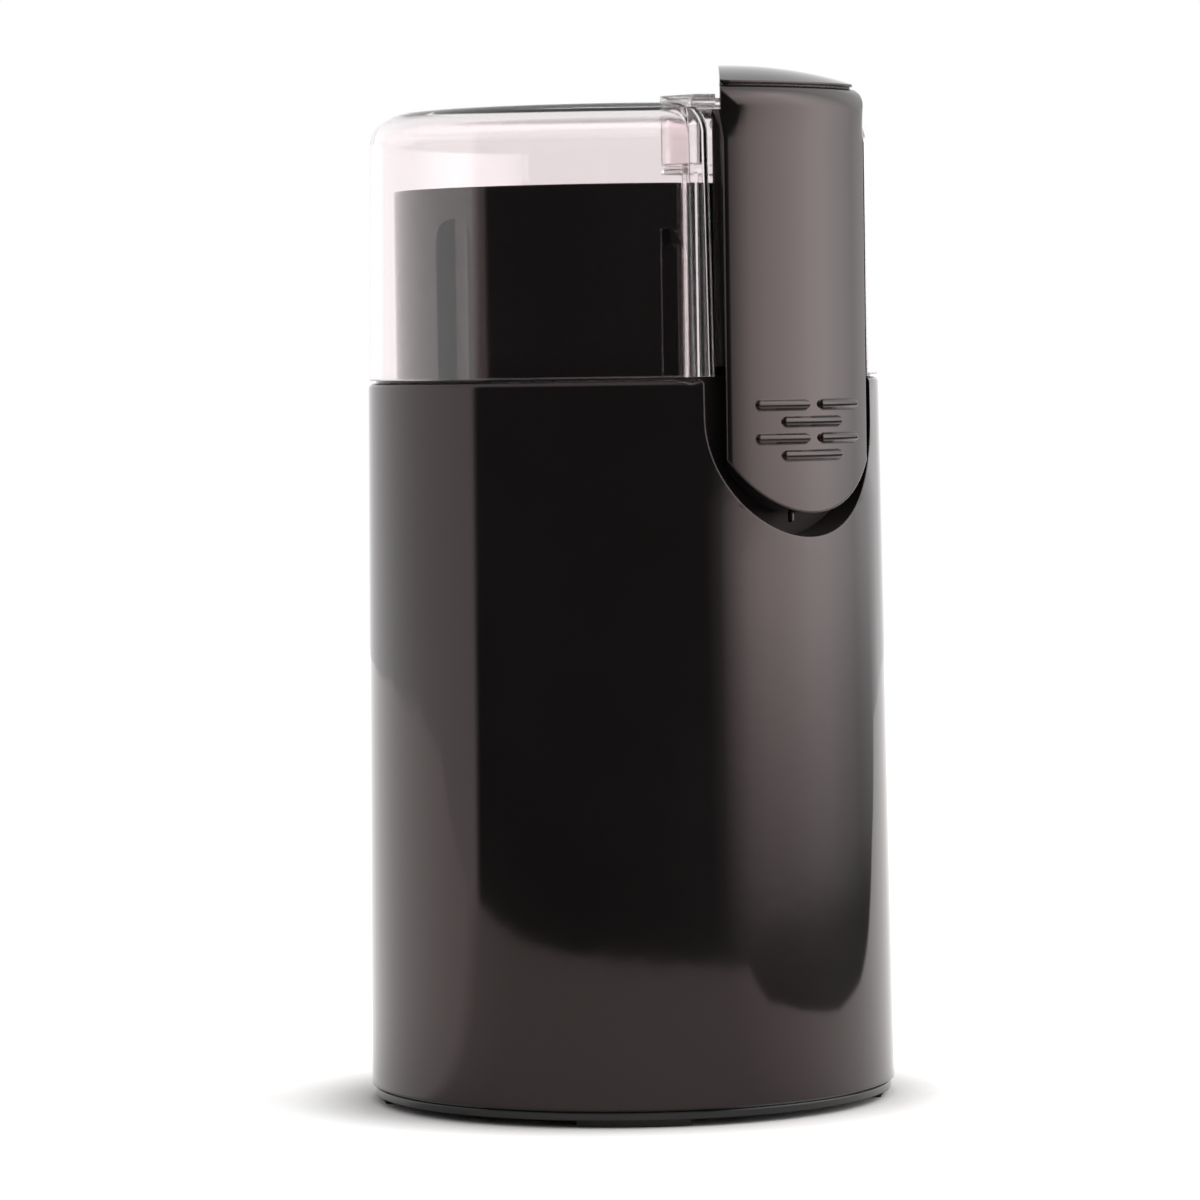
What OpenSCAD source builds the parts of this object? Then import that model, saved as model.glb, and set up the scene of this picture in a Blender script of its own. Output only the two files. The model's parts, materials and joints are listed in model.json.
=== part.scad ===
// Electric spice grinder: round housing with a steel bowl, clear lid, hinged press lever,
// and inside it a universal motor, a spring-loaded plunger and a snap switch.
// The base stands on z = 0, the housing axis is the Z axis and the lever faces -Y.

/* [Housing] */
// Outer radius of the housing at its bottom edge
body_r_low = 45.75; // [44.5:0.25:48]
// Outer radius of the housing at the lid seam
body_r_top = 44.4; // [43.9:0.1:45.5]
// Height of the lid seam above the table
seam_z = 125.1; // [120:1:132]
// Wall thickness of the housing
body_wall = 2.4; // [1.6:0.2:3]
// Radius of the rounded top edge of the housing
body_edge_r = 1; // [0.6:0.2:1.6]
// Height of the seam band that the lid stands on
seam_band_h = 0.4; // [0.3:0.1:1]
// Distance of the seam band behind the housing's side
seam_band_in = 1.3; // [1.1:0.1:1.6]
// Outer radius of the collar that carries the bowl
collar_r = 39.5; // [38.5:0.25:40]
// Height of the collar above the seam
collar_h = 32.9; // [28:1:36]
// Depth of the bay in the collar's front
bay_depth = 1.5; // [1:0.1:1.8]
// Half width of the bay at the collar's rim
bay_half_w = 20.4; // [19.8:0.2:22]
// Half width of the bay below its step
bay_low_half_w = 22.8; // [22.2:0.2:24]
// Depth of the bay's step below the rim
bay_step_h = 7.7; // [5:1:12]
// Width of the two guide ribs in the bay
guide_rib_w = 1; // [0.6:0.1:1.2]
// Length of the two guide ribs
guide_rib_h = 10.5; // [8:1:14]
// Width of the two finger flutes in the collar's sides
flute_w = 9; // [6:1:12]
// Depth of the two finger flutes
flute_depth = 1.8; // [1:0.2:2]
// Distance from the rim to the top of each flute
flute_top = 5.2; // [4:0.5:8]

/* [Lever pocket] */
// Half width of the pocket and radius of its round lower end
pocket_half_w = 20.3; // [19.5:0.1:21]
// Height of the centre of the pocket's round end
pocket_z = 118.5; // [116:0.5:120]
// Distance of the pocket's flat floor from the axis
pocket_floor_p = 37.3; // [37.1:0.1:37.6]
// Thickness of the pocket's wall
pocket_wall = 1.8; // [1.4:0.1:1.8]

/* [Bowl] */
// Outer radius of the bowl
bowl_r = 35.2; // [33:0.2:35.2]
// Sheet thickness of the bowl
bowl_t = 0.8; // [0.5:0.1:1]
// Radius of the bowl's rim flange
bowl_flange_r = 37; // [36.4:0.1:37.2]
// Outer radius of the bend between the bowl's wall and floor
bowl_bend_r = 9; // [6:1:12]
// Height of the top of the partition under the bowl
partition_z = 112.2; // [110:0.5:114]
// Thickness of the partition
partition_t = 2; // [1.6:0.2:2.4]

/* [Lid] */
// Outer radius of the lid at its lower edge
lid_r_low = 44.3; // [44:0.1:44.4]
// Outer radius of the lid below its rounded shoulder
lid_r_top = 43.6; // [43:0.1:43.9]
// Height of the lid's top face above the seam
lid_h = 46.4; // [42:1:50]
// Wall thickness of the lid
lid_wall = 2.2; // [1.6:0.1:2.3]
// Outer radius of the lid's shoulder
lid_shoulder_r = 5.5; // [4:0.5:6.5]
// Half width of the slot for the lever
slot_half_w = 18.6; // [18.2:0.1:19]
// Wall thickness of the slot's cheeks, back wall and floor
slot_wall = 1.5; // [1.2:0.1:1.7]
// Height of the raised hump round the lever's hood
hump_h = 1.2; // [1:0.1:2.2]
// Distance of the hump's rear face from the axis
hump_back_p = 26.8; // [25:0.2:27.4]

/* [Lever] */
// Half width of the lever
lever_half_w = 17.2; // [15:0.2:17.4]
// Radius of the lever's bowed front face
lever_face_r = 40; // [36:0.5:44]
// Distance of the lever's front face from the axis
lever_front_p = 46.4; // [46:0.1:47.5]
// Radius of the lever's round lower end
lever_tip_r = 20.7; // [19:0.1:21]
// Height of the lever's lower tip
lever_tip_z = 102.3; // [101.5:0.1:103.5]
// Wall thickness of the lever
lever_wall = 2.2; // [1.6:0.1:2.6]
// Radius of the lever's long front edges
lever_edge_r = 4; // [3:0.25:5]
// Height of the crease under the lever's hood
crease_z = 174.1; // [173.8:0.1:174.4]
// Height of the crease
crease_h = 0.4; // [0.3:0.1:0.7]
// Height of the crown of the lever's hood
hood_top_z = 178.4; // [177:0.2:181]
// Distance of the hood's front edge behind the lever's face
hood_set_back = 2.2; // [1.8:0.1:3]
// Half width of the hood's rear end
hood_back_half_w = 6.2; // [5:0.2:8]
// Distance of the hood's rear end from the axis
hood_back_p = 30; // [29.4:0.1:31]
// Radius of the hinge pin
pin_r = 1; // [0.8:0.1:1.2]
// Half length of the hinge pin
pin_half_l = 15.7; // [15:0.1:16.5]
// Height of the hinge
hinge_z = 167.7; // [167:0.1:168.2]
// Distance of the hinge from the axis
hinge_p = 38; // [37.5:0.1:38.5]
// Height of one grip rib over the lever's face
rib_proud = 0.8; // [0.4:0.1:1.1]
// Width of one grip rib
rib_w = 1.66; // [1.2:0.1:2]
// Spacing of the rows of grip ribs
rib_pitch = 2.84; // [2.6:0.1:3.2]
// Height of the highest row of grip ribs
rib_top_z = 120.6; // [118:0.5:124]

/* [Plunger and switch] */
// Radius of the plunger's rod
plunger_r = 2.5; // [1.8:0.1:2.8]
// Radius of the plunger's collar
plunger_collar_r = 3.8; // [3.4:0.1:3.9]
// Height of the plunger's axis
plunger_z = 106; // [105.5:0.1:106]
// Wire radius of the plunger's spring
spring_wire_r = 0.3; // [0.2:0.05:0.4]
// Number of turns of the plunger's spring
spring_turns = 4; // [3:1:4]
// Width of the snap switch
switch_w = 19.8; // [16:0.2:20]
// Height of the snap switch
switch_h = 6.4; // [5.8:0.2:6.6]
// Depth of the snap switch
switch_d = 10; // [8:0.5:11]

/* [Base] */
// Radius of the base plate
base_r = 45.2; // [44:0.1:45.4]
// Height of the four feet
foot_h = 1.3; // [1:0.1:2]
// Height of the base plate's visible rim
base_rim_h = 1.3; // [1:0.1:2]
// Height of the parting groove over the base plate's rim
base_groove_h = 0.5; // [0.3:0.1:0.8]
// Distance of the feet inside the base plate's edge
foot_in = 0.7; // [0.6:0.1:2]
// Radial width of one foot
foot_w = 7; // [5:0.5:9]
// Angle that one foot spans
foot_span = 25; // [18:1:32]
// Bore of the cord gland at the rear
gland_bore_r = 3.2; // [2.5:0.1:3.6]
// Height of the cord gland
gland_z = 14; // [12:1:18]

/* [Blade] */
// Length of the blade from tip to tip
blade_l = 54; // [40:1:60]
// Width of one wing of the blade at its root
blade_w = 10; // [7:0.5:12]
// Thickness of the blade
blade_t = 1.5; // [1:0.1:2]
// Pitch of the blade's wings
blade_pitch = 8; // [0:1:10]
// Height of the blade over the bowl's floor
blade_lift = 4.2; // [3.6:0.2:6]

/* [Motor] */
// Radius of the motor's shaft
shaft_r = 3; // [2.4:0.1:3.4]
// Width of the stator
stator_w = 52; // [50:0.5:54]
// Depth of the stator
stator_d = 46; // [44:0.5:48]
// Height of the stator's stack
stack_h = 30; // [26:1:34]
// Height of the stack's lower face
stack_z = 46; // [44:1:48]
// Radius of the armature
armature_r = 15; // [13:0.5:15.5]
// Number of slots in the armature
armature_slots = 12; // [8:1:14]
// Radius of the commutator
commutator_r = 8; // [7:0.5:9]
// Number of commutator bars
commutator_bars = 24; // [12:2:28]
// Number of blades on the fan
fan_blades = 11; // [7:1:15]
// Radius of the fan
fan_r = 20; // [16:0.5:21]
// Radius of a through bolt of the motor
bolt_r = 1.6; // [1.2:0.1:1.8]

/* [Hidden] */
$fn = 96;

far = 100;                  // longer than any cut needs
eps = 0.01;                 // small overlap that joins two shapes of one piece
seat_gap = 0.3;             // gap between pieces that could rub
fit_gap = 0.05;             // radial clearance of a running fit
snug_gap = 0.1;             // clearance of pieces that are fixed to each other
press_gap = 0.02;           // clearance of a pin, hub or bearing in its seat
hood_gap = 0.8;             // gap round the hood in the lid's hump
hump_roof = 1.8;            // thickness of the hump's roof
hump_edge_r = 0.9;          // rounding of the hump's upper edges

collar_top_z = seam_z + collar_h;
bowl_floor_z = partition_z + seat_gap;
body_foot_z = foot_h + base_rim_h + base_groove_h;
lid_z = seam_z + seam_band_h;   // lower edge of the lid, on the seam band
lid_top_z = seam_z + lid_h;
bay_r = collar_r - bay_depth;
bowl_well_r = bowl_r + 0.4;
slot_back_r = collar_r + 0.4;
pocket_back_p = pocket_floor_p - pocket_wall;
lever_face_p = lever_front_p - lever_face_r;
lever_tip_centre_z = lever_tip_z + lever_tip_r;
lever_rim_p = 39;           // rear edge of the lever beside the lid
lever_low_rim_p = 40;       // rear edge of the lever in the pocket
hinge_floor_z = collar_top_z + 3;
hinge_rib_x = 8.6;          // inner side of each hinge rib
hinge_rib_w = 2.8;
hinge_rib_r = 2;
peg_r = 0.6;                // stop peg at the lever's tip
peg_h = 1.6;
ear_x = 11.8;               // inner side of each of the lever's ears
ear_w = 2.2;
ear_r = 2.2;
hump_z = lid_top_z + hump_h;
plunger_front_p = 39.6;
plunger_rear_p = 27.5;
plunger_nose_r = 1;         // narrow end that pushes the switch's leaf
web_p = 27.8;               // rear face of the web that guides the plunger
web_t = 1.2;
collar_front_p = pocket_back_p - seat_gap;
plunger_collar_t = 1.4;
switch_front_p = 23.4;
switch_z = plunger_z - switch_h / 2;
stack_top_z = stack_z + stack_h;
bracket_t = 3;
upper_plate_z = 92;
lower_plate_z = 23;
bearing_r = 8;
bearing_h = 5;
shaft_low_z = 15;
blade_z = bowl_floor_z + bowl_t + blade_lift;
bolt_x = stator_w / 2 - 4.5;
bolt_y = stator_d / 2 - 4.5;
mount_circle_r = 22;
mount_h = 3;
post_r = 4;
mount_angle = asin((bolt_y - 7.5) / mount_circle_r);    // keeps the front mounts clear of the bolts
fan_z = stack_top_z + 9;
commutator_z = 28;
commutator_h = 9;
brush_z = commutator_z + commutator_h / 2;
base_boss_r = 4;
base_head_r = 2.6;          // head of each base screw, sunk in the base plate
base_head_h = 0.9;
foot_r = base_r - foot_in;
base_boss_circle = body_r_low - body_wall - base_boss_r + 0.3;

black = [0.03, 0.03, 0.035];
dark = [0.1, 0.1, 0.1];
steel = [0.78, 0.79, 0.8];
iron = [0.35, 0.35, 0.37];
copper = [0.72, 0.4, 0.2];
clear = [0.93, 0.9, 0.9, 0.4];
alloy = [0.62, 0.63, 0.65];

// Places a child drawn in front view (X, height) as a slab from one distance to another
module along_front(p_from, p_to) {
    translate([0, -p_from, 0]) rotate([90, 0, 0])
        linear_extrude(p_to - p_from) children();
}

// A rod that lies across the front, from one distance to another
module front_rod(r, p_from, p_to, z, x = 0) {
    translate([x, -p_from, z]) rotate([90, 0, 0]) cylinder(r = r, h = p_to - p_from);
}

// A rod along X about the middle
module cross_rod(r, half_l, p, z) {
    translate([0, -p, z]) rotate([0, 90, 0]) cylinder(r = r, h = 2 * half_l, center = true);
}

// A tube on the Z axis
module tube(r_out, r_in, z, h) {
    translate([0, 0, z]) difference() {
        cylinder(r = r_out, h = h);
        translate([0, 0, -1]) cylinder(r = r_in, h = h + 2);
    }
}

module mirrored_x() {
    children();
    mirror([1, 0, 0]) children();
}

module round_rect(w, d, r) {
    square([w - 2 * r, d], center = true);
    square([w, d - 2 * r], center = true);
    for (sx = [-1, 1], sy = [-1, 1])
        translate([sx * (w / 2 - r), sy * (d / 2 - r)]) circle(r = r);
}

// ---------------------------------------------------------------- housing

// Radius of the housing's tapered side at a height
function body_r(z) = body_r_low - (body_r_low - body_r_top) * (z - body_foot_z) / (seam_z - body_foot_z);

// Half section of the housing's outside, less a wall
module body_section(inset, z_low, z_high) {
    polygon([[0, z_low], [body_r(z_low) - inset, z_low], [body_r(z_high) - inset, z_high], [0, z_high]]);
}

module body_outside() {
    edge = body_edge_r;
    edge_x = body_r(seam_z - edge) - edge;
    rotate_extrude() {
        body_section(0, body_foot_z, seam_z - edge);
        translate([0, body_foot_z]) square([edge_x, seam_z - body_foot_z]);
        translate([edge_x, seam_z - edge]) circle(r = edge);
        translate([0, seam_z - edge]) square([body_r_top - seam_band_in, lid_z - seam_z + edge]);
    }
    translate([0, 0, seam_z]) cylinder(r = collar_r, h = collar_h);
}

module pocket_outline(extra) {
    half_w = pocket_half_w + extra;
    translate([0, pocket_z]) circle(r = half_w);
    translate([-half_w, pocket_z]) square([2 * half_w, seam_z + 1 - pocket_z]);
}

module base_boss_places() {
    for (a = [18, 162, 198, 342]) rotate([0, 0, a]) translate([base_boss_circle, 0, 0]) children();
}

module motor_mount_places() {
    for (a = [90, 180 + mount_angle, 360 - mount_angle])
        rotate([0, 0, a]) translate([mount_circle_r, 0, 0]) children();
}

module body_inside() {
    deck_z = seam_z - body_wall;
    skirt_r = bowl_well_r + body_wall;
    difference() {
        rotate_extrude() body_section(body_wall, body_foot_z - 1, deck_z);
        // the well's wall and its partition stay
        translate([0, 0, partition_z - partition_t]) cylinder(r = skirt_r, h = far);
        // the pocket's wall stays
        intersection() {
            along_front(pocket_back_p, far) pocket_outline(pocket_wall);
            cylinder(r = far, h = seam_z);
        }
        base_boss_places() translate([0, 0, body_foot_z]) cylinder(r = base_boss_r, h = 22);
        motor_mount_places() translate([0, 0, upper_plate_z + bracket_t + mount_h])
            cylinder(r = post_r, h = far);
        // web that guides the plunger, under the partition
        translate([-7, -web_p - web_t, plunger_z - 5]) cube([14, web_t, far]);
        // pads that carry the switch
        mirrored_x() translate([7, -switch_front_p + switch_d / 2, switch_z + switch_h])
            cylinder(r = 2.2, h = far);
    }
    // the well over the partition
    translate([0, 0, partition_z]) cylinder(r = bowl_well_r, h = far);
    translate([0, 0, collar_top_z - bowl_t]) cylinder(r = bowl_flange_r + seat_gap, h = far);
    // the hole for the shaft's seal
    cylinder(r = 8.2, h = far * 2);
}

module bay_cut() {
    rim_z = collar_top_z;
    step_z = rim_z - bay_step_h;
    difference() {
        union() {
            translate([-bay_half_w, -far, step_z - 1]) cube([2 * bay_half_w, far, far]);
            translate([-bay_low_half_w, -far, lid_z])
                cube([2 * bay_low_half_w, far, step_z - lid_z]);
        }
        cylinder(r = bay_r, h = far * 3);
        mirrored_x() intersection() {
            translate([bay_half_w - guide_rib_w, -far, rim_z - guide_rib_h])
                cube([guide_rib_w + 1, far, guide_rib_h]);
            // the rib's lower tip is cut at a slant
            translate([bay_half_w - guide_rib_w, 0, rim_z - guide_rib_h]) rotate([0, -60, 0])
                translate([0, -far, -far]) cube([far, far, far]);
        }
    }
}

module flute_cuts() {
    for (side = [-1, 1]) {
        centre_x = side * (collar_r + flute_w * flute_w / 8 / flute_depth - flute_depth / 2);
        r = abs(centre_x) - collar_r + flute_depth;
        top_z = collar_top_z - flute_top - flute_w / 2;
        intersection() {
            translate([centre_x, 0, lid_z]) cylinder(r = r, h = far);
            rotate([0, 0, 90]) along_front(-far, far) union() {
                translate([0, top_z]) circle(r = flute_w / 2);
                translate([-flute_w / 2, seam_z]) square([flute_w, top_z - seam_z]);
            }
        }
    }
}

module body_shell() {
    color(black) difference() {
        body_outside();
        body_inside();
        intersection() {
            along_front(pocket_floor_p, far) pocket_outline(0);
            cylinder(r = far, h = lid_z);
        }
        bay_cut();
        flute_cuts();
        front_rod(plunger_r + seat_gap, web_p - 1, far, plunger_z);
        translate([0, 0, gland_z]) rotate([-90, 0, 0]) cylinder(r = gland_bore_r + 2, h = far);
        base_boss_places() cylinder(r = 1.3, h = 18);
        motor_mount_places() cylinder(r = 1.45, h = partition_z - partition_t);
        mirrored_x() translate([7, -switch_front_p + switch_d / 2, 0])
            cylinder(r = 1, h = partition_z - 0.8);
    }
}

module base_plate() {
    rim_z = foot_h + base_rim_h;
    slot_n = 9;
    color(black) difference() {
        union() {
            translate([0, 0, foot_h]) cylinder(r = base_r, h = base_rim_h);
            translate([0, 0, foot_h]) cylinder(r = body_r_low - 1.2, h = body_foot_z - foot_h);
            // ring that centres the plate in the housing
            tube(body_r_low - body_wall - 0.35, body_r_low - 2 * body_wall, foot_h + 1, 5);
        }
        translate([0, 0, foot_h + 2]) cylinder(r = body_r_low - 2 * body_wall - 0.6, h = far);
        // slots that let the cooling air in
        for (i = [0:slot_n - 1]) {
            x = (i - (slot_n - 1) / 2) * 5;
            half_l = sqrt(24 * 24 - x * x);
            translate([x - 1.1, -half_l, 0]) cube([2.2, 2 * half_l, far]);
        }
        base_boss_places() {
            translate([0, 0, -1]) cylinder(r = 1.7, h = far);
            translate([0, 0, foot_h - 1]) cylinder(r = base_head_r + seat_gap, h = base_head_h + 1);
            translate([0, 0, body_foot_z - snug_gap]) cylinder(r = base_boss_r + seat_gap, h = far);
        }
    }
}

module base_screws() {
    color(steel) base_boss_places() {
        translate([0, 0, foot_h + 0.2]) cylinder(r = 1.2, h = 14);
        translate([0, 0, foot_h]) cylinder(r = base_head_r, h = base_head_h);
    }
}

module foot(angle) {
    bevel = 0.6;
    color(dark) rotate([0, 0, angle - foot_span / 2]) rotate_extrude(angle = foot_span)
        polygon([
            [foot_r - foot_w, foot_h], [foot_r - foot_w + bevel, 0],
            [foot_r - bevel, 0], [foot_r, foot_h]
        ]);
}

module cord_gland() {
    wall_y = body_r(gland_z) - body_wall;
    color(dark) translate([0, 0, gland_z]) rotate([-90, 0, 0]) difference() {
        union() {
            translate([0, 0, wall_y - 2.2]) cylinder(r = gland_bore_r + 3.4, h = 1.6);
            translate([0, 0, wall_y - 1]) cylinder(r = gland_bore_r + 1.9, h = body_wall + 0.6);
        }
        cylinder(r = gland_bore_r, h = far);
    }
}

// ---------------------------------------------------------------- bowl

module bowl_section(inset) {
    floor_z = bowl_floor_z + inset;
    r = bowl_r - inset;
    bend = bowl_bend_r - inset;
    square([r - bend, far + floor_z]);
    translate([0, floor_z + bend]) square([r, far]);
    translate([r - bend, floor_z + bend]) circle(r = bend);
}

module bowl() {
    color(steel) difference() {
        union() {
            rotate_extrude() intersection() {
                bowl_section(0);
                translate([0, bowl_floor_z]) square([far, collar_top_z - bowl_floor_z]);
            }
            translate([0, 0, collar_top_z - bowl_t]) cylinder(r = bowl_flange_r, h = bowl_t);
        }
        rotate_extrude() intersection() {
            bowl_section(bowl_t);
            translate([0, bowl_floor_z + bowl_t]) square([far, far]);
        }
        cylinder(r = 8.2, h = far * 2);
    }
}

module shaft_seal() {
    floor_z = bowl_floor_z + bowl_t;
    color(dark) difference() {
        union() {
            translate([0, 0, partition_z - partition_t - 1]) cylinder(r = 7.9, h = floor_z - partition_z + 4);
            translate([0, 0, floor_z + snug_gap]) cylinder(r = 10, h = 1.2);
            translate([0, 0, floor_z + 1]) cylinder(r1 = 7.6, r2 = 5.6, h = 1.6);
        }
        cylinder(r = shaft_r + snug_gap, h = far * 2);
    }
}

// ---------------------------------------------------------------- lid

module lid_section(inset) {
    shoulder_z = lid_top_z - lid_shoulder_r;
    shoulder_x = lid_r_top - lid_shoulder_r;
    low_z = inset > 0 ? lid_z - 1 : lid_z;
    polygon([
        [0, low_z], [lid_r_low - inset, low_z], [lid_r_top - inset, shoulder_z],
        [shoulder_x, shoulder_z], [shoulder_x, lid_top_z - inset], [0, lid_top_z - inset]
    ]);
    translate([shoulder_x, shoulder_z]) circle(r = lid_shoulder_r - inset);
}

// Plan of the lever's hood, grown by a gap
module hood_plan(gap) {
    slant = gap * (sqrt(2) - 1);
    side = lever_half_w + gap;
    back = hood_back_half_w + slant;
    turn_p = hood_back_p + lever_half_w - hood_back_half_w;
    polygon([
        [-side, -far], [-side, -turn_p + slant], [-back, -hood_back_p + gap],
        [back, -hood_back_p + gap], [side, -turn_p + slant], [side, -far]
    ]);
}

module hump_plan(inset) {
    w = 2 * (slot_half_w + slot_wall - inset);
    back = -(hump_back_p + inset);
    difference() {
        translate([-w / 2, -far]) square([w, far + back]);
        mirrored_x() translate([w / 2 - 5 + inset, back - 5 + inset]) difference() {
            square(10);
            circle(r = 5 - inset);
        }
    }
}

// Bars that round the hump's upper edges
module hump_limit() {
    l = 2 * far;
    intersection() {
        along_front(0, far) translate([0, hump_z - l / 2])
            round_rect(2 * (slot_half_w + slot_wall), l, hump_edge_r);
        rotate([90, 0, 90]) translate([-hump_back_p - l / 2, hump_z - l / 2, -far])
            linear_extrude(l) round_rect(l, l, hump_edge_r);
    }
}

module slot_room() {
    // the room between the cheeks, in front of the back wall and over the hinge floor
    difference() {
        translate([-slot_half_w, -far, lid_z - 1]) cube([2 * slot_half_w, far, hinge_floor_z - lid_z + 2]);
        cylinder(r = slot_back_r, h = far * 2);
    }
    translate([0, 0, hinge_floor_z]) linear_extrude(hump_z - hump_roof - hinge_floor_z)
        hump_plan(slot_wall);
    translate([0, 0, hinge_floor_z]) linear_extrude(far) hood_plan(hood_gap);
}

// Cheeks and back wall between the lever and the collar
module lever_channel() {
    half_w = slot_half_w + slot_wall;
    edge_x = slot_half_w + 0.5;
    difference() {
        translate([-half_w, -far, 0]) cube([2 * half_w, far, hinge_floor_z - eps]);
        intersection() {
            cylinder(r = slot_back_r - slot_wall, h = far * 2);
            translate([-edge_x, -far, 0]) cube([2 * edge_x, far, far * 2]);
        }
        mirrored_x() intersection() {
            cylinder(r = slot_back_r, h = far * 2);
            translate([edge_x - eps, -far, 0]) cube([far, far, far * 2]);
        }
    }
}

// Two ribs on the lid's hinge floor that hold the pin
module hinge_ribs() {
    r = hinge_rib_r;
    mirrored_x() difference() {
        translate([hinge_rib_x, -hinge_p, 0]) {
            translate([0, -r, hinge_floor_z - eps]) cube([hinge_rib_w, 2 * r, hinge_z - hinge_floor_z + eps]);
            translate([0, 0, hinge_z]) rotate([0, 90, 0]) cylinder(r = r, h = hinge_rib_w);
        }
        cross_rod(pin_r + press_gap, far, hinge_p, hinge_z);
    }
}

module lid() {
    color(clear) {
        difference() {
            union() {
                rotate_extrude() lid_section(0);
                intersection() {
                    cylinder(r = lid_r_top - 1.4, h = far * 2);
                    translate([0, 0, lid_top_z - 1]) linear_extrude(hump_h + 1) hump_plan(0);
                    hump_limit();
                }
            }
            difference() {
                rotate_extrude() lid_section(lid_wall);
                // cheeks, back wall and hinge floor stay
                lever_channel();
                translate([0, 0, hinge_floor_z - slot_wall]) linear_extrude(far) hump_plan(0);
            }
            slot_room();
        }
        hinge_ribs();
    }
}

module hinge_pin() {
    color(steel) cross_rod(pin_r, pin_half_l, hinge_p, hinge_z);
}

// ---------------------------------------------------------------- lever

// Plan of the lever: a front arc with rounded corners, less a wall and a set-back of the face
module lever_plan(inset, rear_p, set_back = 0) {
    face_r = lever_face_r - inset - set_back;
    half_w = lever_half_w - inset;
    edge = max(lever_edge_r - inset, 0.3);
    corner_x = half_w - edge;
    reach = face_r - edge;
    corner_p = lever_face_p + sqrt(reach * reach - corner_x * corner_x);
    spread = asin(corner_x / reach);
    side = 3 * edge;
    difference() {
        intersection() {
            translate([0, -lever_face_p]) circle(r = face_r);
            translate([-half_w, -far]) square([2 * half_w, far - rear_p]);
        }
        mirrored_x() translate([corner_x, -corner_p]) difference() {
            polygon([[0, 0], [side, 0], [side, -side], [side * sin(spread), -side * cos(spread)]]);
            circle(r = edge + eps);
        }
    }
}

module lever_front_outline(inset) {
    translate([0, lever_tip_centre_z]) circle(r = lever_tip_r - inset);
    translate([-far, lever_tip_centre_z]) square([2 * far, far]);
}

// Turned body that rolls the lever's shoulder back to the crease
module shoulder_limit() {
    roll_r = 5.2;
    roll_x = lever_face_r - roll_r + 0.05;
    roll_z = crease_z - 4.4;
    translate([0, -lever_face_p, 0]) rotate_extrude() {
        square([far, roll_z + 0.8]);
        intersection() {
            union() {
                translate([roll_x, roll_z]) circle(r = roll_r);
                square([roll_x, far * 2]);
            }
            square([far, crease_z]);
        }
    }
}

// Turned body that domes the lever's hood
module hood_limit(drop) {
    dome_r = 43.5;
    turn_r = 102;
    crown_p = 27;
    translate([0, 0, hood_top_z - turn_r - drop]) rotate([90, 0, 0]) rotate_extrude()
        intersection() {
            translate([turn_r - dome_r, crown_p]) circle(r = dome_r);
            square([turn_r + 1, 80]);
        }
}

module hood_body(gap, z_low, rear_p) {
    translate([0, 0, z_low]) linear_extrude(hood_top_z + 2 - z_low) intersection() {
        lever_plan(gap, rear_p, hood_set_back);
        hood_plan(-gap);
    }
}

module grip_rib(x, z, half_l) {
    r = rib_w / 2;
    // a rounded bar that follows the bowed face
    intersection() {
        translate([0, -lever_face_p, z]) rotate_extrude() union() {
            translate([lever_face_r + rib_proud - r, 0]) circle(r = r);
            translate([lever_face_r - 1, -r]) square([rib_proud - r + 1, rib_w]);
        }
        translate([x, 0, 0]) along_front(lever_front_p - 10, far) union() {
            square([2 * (half_l - r), far * 3], center = true);
            translate([-half_l + r, z]) circle(r = r);
            translate([half_l - r, z]) circle(r = r);
        }
    }
}

module grip_ribs() {
    for (row = [0:3]) {
        z = rib_top_z - row * rib_pitch;
        if (row % 2 == 0) {
            grip_rib(-6.85, z, 5.35);
            grip_rib(6.85, z, 5.35);
        } else {
            grip_rib(0, z, 7);
        }
    }
}

// Two ears inside the hood that the hinge pin goes through
module lever_ears() {
    front_p = lever_front_p - lever_wall;
    mirrored_x() translate([ear_x, 0, 0]) {
        // up to the hood's roof, and to the face where the shoulder isn't rolled yet
        translate([0, -hinge_p - ear_r, hinge_z]) cube([ear_w, 2 * ear_r, crease_z + 2 - hinge_z]);
        translate([0, -front_p - eps, hinge_z])
            cube([ear_w, front_p + eps - hinge_p + ear_r, ear_r + eps]);
        translate([0, -hinge_p, hinge_z]) rotate([0, 90, 0]) cylinder(r = ear_r, h = ear_w);
        translate([0, -front_p + 2, hinge_z - ear_r]) cube([ear_w, front_p - 2 - hinge_p, ear_r + eps]);
    }
}

module lever_bow() {
    difference() {
        intersection() {
            translate([0, 0, lever_tip_z - 1]) linear_extrude(crease_z + 1 - lever_tip_z)
                lever_plan(0, lever_rim_p);
            along_front(0, far) lever_front_outline(0);
            shoulder_limit();
        }
        intersection() {
            translate([0, 0, lever_tip_z - 2]) linear_extrude(crease_z - 1.8 - lever_tip_z)
                lever_plan(lever_wall, 0);
            along_front(0, far) lever_front_outline(lever_wall);
        }
        // the rear edge is lower in the pocket, so that the lever can swing in
        translate([-far, -lever_low_rim_p, 0]) cube([2 * far, far, seam_z + 2]);
    }
}

module lever_hood() {
    intersection() {
        hood_limit(0);
        difference() {
            union() {
                hood_body(0, crease_z + crease_h, hood_back_p);
                hood_body(crease_h, crease_z - 4, hood_back_p + crease_h);
            }
            intersection() {
                hood_body(2.4, crease_z - 6, hood_back_p + 2);
                hood_limit(2.4);
            }
        }
    }
}

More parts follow.
